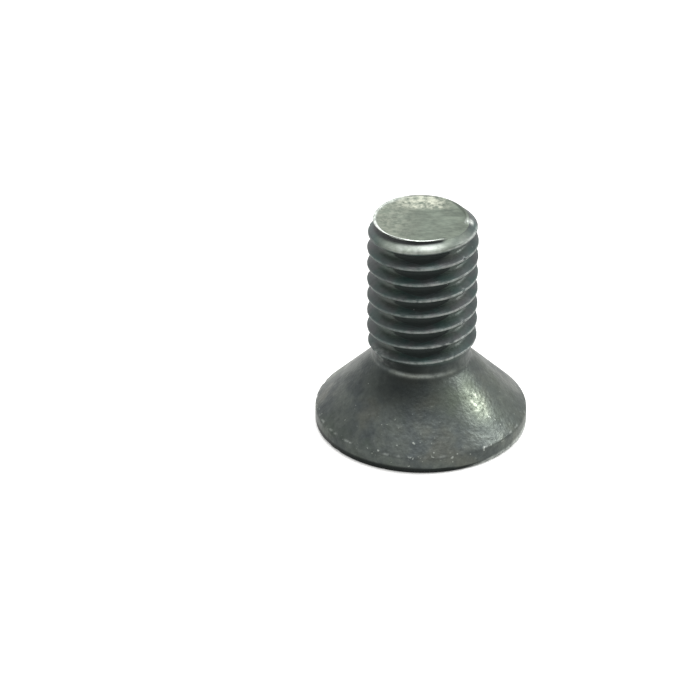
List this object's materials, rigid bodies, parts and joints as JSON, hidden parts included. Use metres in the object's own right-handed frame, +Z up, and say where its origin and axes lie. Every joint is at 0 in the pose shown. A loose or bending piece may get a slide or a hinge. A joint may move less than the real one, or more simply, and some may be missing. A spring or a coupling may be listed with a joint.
{
  "type": "countersunk socket screw",
  "caption": "Short black steel countersunk screw with a hexagon socket in its flat head and a right-hand thread up to the neck.",
  "frame": {"origin": "centre of the flat head face, which the screw stands on", "axes": "+Z up the screw's axis, from the head face to the tip; +X points at one corner of the hexagon socket"},
  "size_m": [0.0153, 0.0152, 0.0163],
  "materials": {
    "black_steel": "black oxide, worn bright at the edges"
  },
  "bodies": {
    "root": {"socket_screw": "black_steel"}
  },
  "joints": []
}
